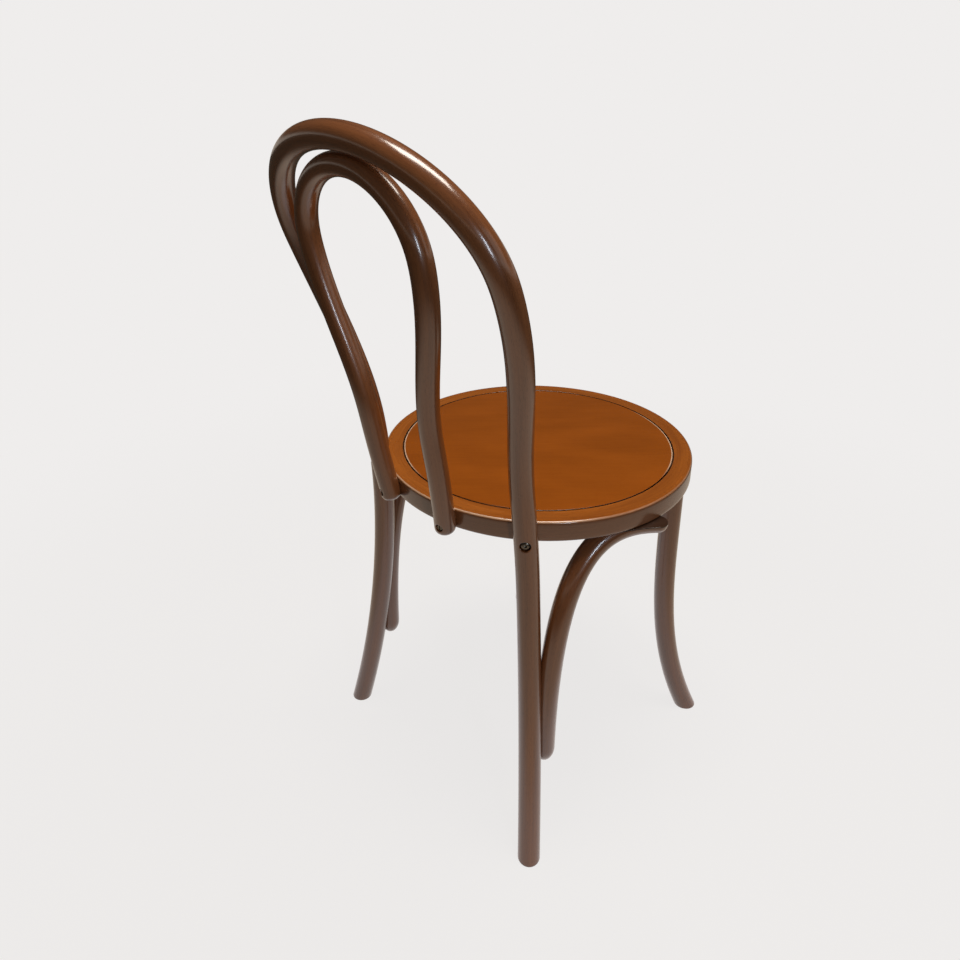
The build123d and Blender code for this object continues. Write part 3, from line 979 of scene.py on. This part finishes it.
# Front legs. Sabre legs of bent beech rod that come straight down from the ring and kick outwards
# to the floor. The turned tenon on top of each is glued into a mortise in the ring, with a screw
# through it from inside.

leg_radius = 29.5 / 2 * mm
leg_turn = radians(46.5)
leg_inset = 15.5 * mm
leg_foot_kick = 53.0 * mm
leg_straight_share = 0.25
leg_kick_power = 2.9
leg_points = 240
leg_sawn = sawn_radii * leg_radius
tenon_edge_round = 1.0 * mm
leg_screw_height = ring_bottom + tenon_length / 2
leg_screw_depth = 3.0 * mm
leg_screw_length = 26.0 * mm
leg_screw_seat = ring_bore_radius + leg_screw_depth
leg_screw_end = leg_screw_seat + leg_screw_length + fit

for name, side in (("left", 1), ("right", -1)):
    outwards = np.array([side * sin(leg_turn), -cos(leg_turn), 0.0])
    sideways = np.array([cos(leg_turn), side * sin(leg_turn), 0.0])
    top = np.array([0.0, seat_middle.y, 0.0]) + outwards * (ring_radius - leg_inset)
    # The leg drops straight for its first share, then kicks out by a power of the way left.
    share = np.linspace(0, 1, leg_points)
    kicked = np.clip(share - leg_straight_share, 0, 1) / (1 - leg_straight_share)
    points = top + outwards * (leg_foot_kick * kicked**leg_kick_power)[:, None]
    points[:, 2] = ring_bottom * (1 - share)
    tenon_top = points[0] + (0.0, 0.0, tenon_length)
    leg_line = bent_line(np.vstack([tenon_top, points]), bend_ease)
    leg_length = line_frame(leg_line, sideways)[0][-1]
    stations, radii = eased_stations(leg_length, leg_radius, (0.0, 0.0), sawn_edge_round)
    # The rows within the tenon's length are exchanged for the tenon's own.
    below_ring = stations > tenon_length
    tenon_stations = [0.0, tenon_edge_round, tenon_length, tenon_length]
    tenon_radii = [tenon_radius - tenon_edge_round, tenon_radius, tenon_radius, leg_radius]
    stations = np.concatenate([tenon_stations, stations[below_ring]])
    radii = np.concatenate([tenon_radii, radii[below_ring]])
    leg = skin(
        f"front_leg_{name}_rod",
        rod_rows(leg_line, sideways, stations, radii, 0.0, leg_sawn),
    )
    mortise = [(tenon_radius + fit, -tenon_length), (tenon_radius + fit, tenon_length + 2 * fit)]
    screw_bore = [(screw_bore_radius, 0.0), (screw_bore_radius, leg_screw_end)]
    screw_mouth = [(screw_mouth_radius, 0.0), (screw_mouth_radius, leg_screw_seat)]
    screw_level = np.array([0.0, seat_middle.y, leg_screw_height])
    leg_cutters = [
        bore("mortise", mortise, (top[0], top[1], ring_bottom), (0.0, 0.0, 1.0)),
        bore("screw_bore", screw_bore, screw_level, outwards),
        bore("screw_mouth", screw_mouth, screw_level, outwards),
    ]
    carve(seat_ring, leg_cutters)
    carve(leg, [bore("screw_bore", screw_bore, screw_level, outwards)])
    keep_straight_place(leg, leg_line, sideways)
    leg.data.materials.append(rod_beech)
    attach(leg, "root")
    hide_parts(f"front_leg_{name}")

# Side braces. Each bent beech rod rises beside the rear leg, turns over and runs out under the
# ring, where it is planed flat to half its thickness and ends just past the ring's edge. Its foot
# is hollowed to sit against the leg, and a sunk wood screw holds each end.

brace_radius = 27.5 / 2 * mm
brace_foot_height = 117.5 * mm
brace_foot_pull = 328.0 * mm
brace_end_pull = 78.0 * mm
brace_end_heading = radians(45.0)
brace_end_past = 11.0 * mm
brace_end_turn = radians(1.5)
brace_saddle = 2.0 * mm
brace_foot_round = (20.0 * mm, 12.5 * mm)
brace_end_round = (12.0 * mm, 12.0 * mm)
brace_planed_ease = 0.8 * mm
brace_screw_up = 21.0 * mm
brace_foot_screw_depth = 5.0 * mm
brace_foot_screw_length = 40.0 * mm
brace_top_screw_depth = 4.0 * mm
brace_top_screw_length = 32.0 * mm
brace_top_screw_share = 0.8
brace_points = 240
rear_leg_top = 250.0 * mm
# The planed face under the ring is painted dark, as painted shade from the ring above it.
planed_face_shade = (ring_bottom - 1.6 * mm, ring_bottom - 0.7 * mm)


def brace_tones(nodes, links):
    """The rods' tones, with painted shade on the face planed off under the ring."""
    return darkened_rod(nodes, links, planed_face_shade, 0.0, 1.0)


brace_beech = rod_finish("brace_beech", brace_tones)

for name, side in (("left", 1), ("right", -1)):
    mirror = np.array([side, 1, 1])
    screw_height = brace_foot_height + brace_screw_up
    foot = np.array(
        [
            hoop_waist + hoop_splay(screw_height),
            hoop_plumb + hoop_lean(screw_height) - hoop_radius - brace_radius + brace_saddle,
            brace_foot_height,
        ]
    )
    end_reach = ring_radius + brace_end_past
    end = np.array([end_reach * cos(brace_end_turn), end_reach * sin(brace_end_turn), ring_bottom])
    heading = np.array([sin(brace_end_heading), -cos(brace_end_heading), 0.0])
    foot_pull = foot + (0.0, 0.0, brace_foot_pull)
    end_pull = end - heading * brace_end_pull

    def brace_curve(share):
        """The foot and the end, each with its pull, weighted as in a cubic Bezier curve."""
        near_foot = foot * (1 - share) ** 3 + 3 * foot_pull * (1 - share) ** 2 * share
        curve = near_foot + 3 * end_pull * (1 - share) * share**2 + end * share**3
        return (curve + (0.0, seat_middle.y, 0.0)) * mirror

    brace_line = bent_line(brace_curve(np.linspace(0, 1, brace_points)[:, None]), bend_ease / 2)
    level_across = np.array([side * cos(brace_end_heading), sin(brace_end_heading), 0.0])
    brace_length = line_frame(brace_line, level_across)[0][-1]
    stations, radii = eased_stations(
        brace_length, brace_radius, brace_foot_round, brace_end_round
    )
    rows = rod_rows(brace_line, level_across, stations, radii)
    # The plane takes each point above the ring's underside down to it. The soft maximum of the
    # depth below it and zero eases the corner.
    below_ring = (ring_bottom - rows[..., 2]) / brace_planed_ease
    rows[..., 2] = ring_bottom - brace_planed_ease * np.logaddexp(0, below_ring)
    brace = skin(f"side_brace_{name}_rod", rows)

    screw_up = np.array([foot[0], foot[1], screw_height]) + (0.0, seat_middle.y, 0.0)
    foot_screw = screw_up * mirror
    top_screw = brace_curve(brace_top_screw_share)
    towards_front = (0.0, -1.0, 0.0)
    downwards = (0.0, 0.0, -1.0)
    foot_seat = foot_screw - (0.0, brace_radius - brace_foot_screw_depth, 0.0)
    top_seat = top_screw - (0.0, 0.0, brace_radius - brace_top_screw_depth)
    foot_bore = [(screw_bore_radius, 0.0), (screw_bore_radius, brace_foot_screw_length + fit)]
    top_bore = [(screw_bore_radius, 0.0), (screw_bore_radius, brace_top_screw_length + fit)]
    # The saddle is cut by the rear leg's own rod, larger by the fit.
    rear_leg = hoop_middle_line[
        (hoop_middle_line[:, 2] < rear_leg_top) & (hoop_middle_line[:, 0] * side > 0)
    ]
    leg_reach = line_frame(rear_leg, towards_back)[0]
    leg_radii = np.full(len(leg_reach), hoop_radius + fit)
    carve(back_hoop, [bore("screw_bore", foot_bore, foot_seat, towards_back)])
    carve(seat_ring, [bore("screw_bore", top_bore, top_seat, (0.0, 0.0, 1.0))])
    brace_cutters = [
        skin("saddle", rod_rows(rear_leg, towards_back, leg_reach, leg_radii)),
        counterbore(
            "foot_mouth", foot_screw, towards_front, brace_line, brace_radius,
            screw_mouth_radius, brace_foot_screw_depth, screw_bore_radius,
        ),
        counterbore(
            "top_mouth", top_screw, downwards, brace_line, brace_radius,
            screw_mouth_radius, brace_top_screw_depth, screw_bore_radius,
        ),
    ]
    carve(brace, brace_cutters)
    keep_straight_place(brace, brace_line, level_across)
    brace.data.materials.append(brace_beech)
    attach(brace, "root")
    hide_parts(f"side_brace_{name}")

# The back hoop now has its last bores, so its grain can be laid along it.
keep_straight_place(back_hoop, hoop_middle_line, towards_back)

# Steel fixings. Domed bolts with washers and nuts hold the hoop, and slotted wood screws hold the
# rest. The steel is dulled in small patches, dark and smooth or paler and rougher.

dark_steel = (0.07, 0.06, 0.048, 1.0)
pale_steel = (0.22, 0.20, 0.165, 1.0)
steel_roughness = (0.16, 0.32)

steel = bpy.data.materials.new("dulled_steel")
steel.use_nodes = True
nodes, links = steel.node_tree.nodes, steel.node_tree.links
shader = nodes["Principled BSDF"]
shader.inputs["Metallic"].default_value = 1.0
place = nodes.new("ShaderNodeTexCoord")
dulling = nodes.new("ShaderNodeTexNoise")
dulling.inputs["Scale"].default_value = 900.0
dulling.inputs["Detail"].default_value = 3.0
tone = nodes.new("ShaderNodeMix")
tone.data_type = "RGBA"
tone.inputs["A"].default_value = dark_steel
tone.inputs["B"].default_value = pale_steel
polish = nodes.new("ShaderNodeMapRange")
polish.inputs["To Min"].default_value = steel_roughness[0]
polish.inputs["To Max"].default_value = steel_roughness[1]
links.new(place.outputs["Object"], dulling.inputs["Vector"])
links.new(dulling.outputs["Fac"], tone.inputs["Factor"])
links.new(dulling.outputs["Fac"], polish.inputs["Value"])
links.new(tone.outputs["Result"], shader.inputs["Base Color"])
links.new(polish.outputs["Result"], shader.inputs["Roughness"])
steel_nodes = [
    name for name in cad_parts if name.startswith("hoop_") or name.endswith("screws")
]
for name in steel_nodes:
    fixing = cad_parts[name]
    fixing.data.materials.clear()
    fixing.data.materials.append(steel)
